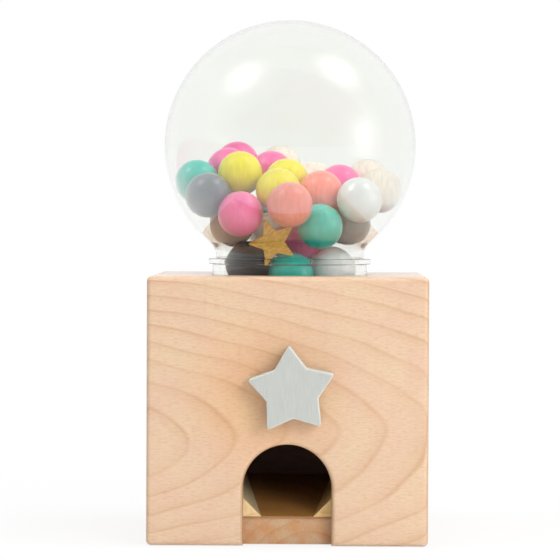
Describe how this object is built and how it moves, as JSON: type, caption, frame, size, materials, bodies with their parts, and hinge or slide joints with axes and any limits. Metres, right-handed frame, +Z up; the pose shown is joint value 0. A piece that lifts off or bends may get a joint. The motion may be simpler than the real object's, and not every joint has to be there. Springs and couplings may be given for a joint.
{
  "type": "gumball machine",
  "caption": "Table-top gumball machine: a clear globe of painted wooden balls on a beech box, with a star knob that turns a pocketed drum and an arched outlet with a ramp.",
  "frame": {"origin": "middle of the box's flat underside", "axes": "+Z up through the globe, -Y out of the front with the star and the outlet, +X to the right seen from the front"},
  "size_m": [0.11, 0.1215, 0.208],
  "materials": {
    "beech": "clear matt oil on beech, fine flecks and arched growth rings",
    "beech_inside": "bare sanded beech",
    "silver_paint": "satin silver paint on wood",
    "clear_plastic": "clear glossy moulding",
    "socket_plastic": "fine matt moulding",
    "white_nylon": "smooth matt nylon",
    "screw_steel": "bright zinc plated",
    "gold_metal": "fine brushed gold colour",
    "teal_paint": "satin paint on a turned wooden ball",
    "slate_paint": "satin paint on a turned wooden ball",
    "yellow_paint": "satin paint on a turned wooden ball",
    "pink_paint": "satin paint on a turned wooden ball",
    "coral_paint": "satin paint on a turned wooden ball",
    "silver_ball_paint": "silver paint on a turned wooden ball",
    "natural_ball": "bare turned wood",
    "black_paint": "satin paint on a turned wooden ball"
  },
  "bodies": {
    "case": {"front_panel": "beech", "back_panel": "beech", "left_side_panel": "beech", "right_side_panel": "beech", "top_panel": "beech", "base_panel": "beech", "front_dowels": "beech_inside", "rear_dowels": "beech_inside", "top_dowels": "beech_inside", "base_screws": "screw_steel", "globe_socket": "socket_plastic", "socket_screws": "screw_steel", "hopper_block": "beech_inside", "left_drum_cheek": "beech_inside", "right_drum_cheek": "beech_inside", "rear_bearing_board": "beech_inside", "bearing_board_screws": "screw_steel", "front_bush": "white_nylon", "chute_ramp": "beech_inside", "left_chute_guide": "beech_inside", "right_chute_guide": "beech_inside"},
    "rotor": {"star_knob": "silver_paint", "knob_washer": "white_nylon", "front_axle": "beech_inside", "axle_spacer": "beech_inside", "dispenser_drum": "beech_inside", "rear_axle": "beech_inside", "pocket_ball": "yellow_paint"},
    "globe_body": {"globe": "clear_plastic", "gold_star": "gold_metal", "balls_teal": "teal_paint", "balls_slate": "slate_paint", "balls_yellow": "yellow_paint", "balls_pink": "pink_paint", "balls_coral": "coral_paint", "balls_silver": "silver_ball_paint", "balls_natural": "natural_ball", "balls_black": "black_paint"}
  },
  "joints": [
    {"name": "knob_turn", "type": "hinge", "parent": "case", "child": "rotor", "pos_m": [0, 0, 0.061], "axis": [0, 1, 0], "continuous": true},
    {"name": "globe_lift", "type": "slide", "parent": "case", "child": "globe_body", "axis": [0, 0, 1], "range_m": [0, 0.045]}
  ]
}
